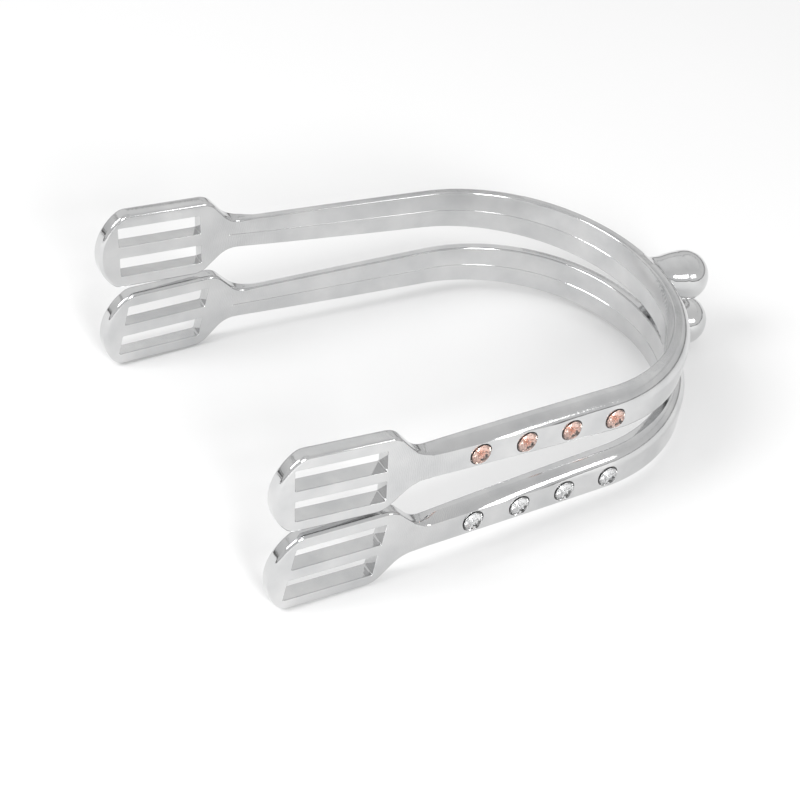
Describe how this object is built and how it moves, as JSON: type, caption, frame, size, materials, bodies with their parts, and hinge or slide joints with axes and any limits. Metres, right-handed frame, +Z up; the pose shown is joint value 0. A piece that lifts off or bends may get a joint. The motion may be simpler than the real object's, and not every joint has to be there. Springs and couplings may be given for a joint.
{
  "type": "pair of dress spurs",
  "caption": "Pair of polished ball-end riding spurs, stacked, with slotted strap plates and a row of cut crystals set in one branch of each.",
  "frame": {"origin": "centre of the footprint of the stacked pair, on the surface the lower spur lies on", "axes": "+X towards the ball ends, -Y towards the branches that carry the crystals, +Z up"},
  "size_m": [0.1324, 0.085, 0.039],
  "materials": {
    "polished_steel": "polished",
    "clear_crystal": "cut and polished",
    "peach_crystal": "cut and polished",
    "mirror_foil": "mirror",
    "glue": "gloss"
  },
  "bodies": {
    "lower_spur": {"lower_yoke": "polished_steel", "lower_crystal_1": "clear_crystal", "lower_foil_1": "mirror_foil", "lower_glue_1": "glue", "lower_crystal_2": "clear_crystal", "lower_foil_2": "mirror_foil", "lower_glue_2": "glue", "lower_crystal_3": "clear_crystal", "lower_foil_3": "mirror_foil", "lower_glue_3": "glue", "lower_crystal_4": "clear_crystal", "lower_foil_4": "mirror_foil", "lower_glue_4": "glue"},
    "upper_spur": {"upper_yoke": "polished_steel", "upper_crystal_1": "peach_crystal", "upper_foil_1": "mirror_foil", "upper_glue_1": "glue", "upper_crystal_2": "peach_crystal", "upper_foil_2": "mirror_foil", "upper_glue_2": "glue", "upper_crystal_3": "peach_crystal", "upper_foil_3": "mirror_foil", "upper_glue_3": "glue", "upper_crystal_4": "peach_crystal", "upper_foil_4": "mirror_foil", "upper_glue_4": "glue"}
  },
  "joints": [
    {"name": "upper_lift", "type": "slide", "parent": "lower_spur", "child": "upper_spur", "axis": [0, 0, 1], "range_m": [0, 0.06]}
  ]
}
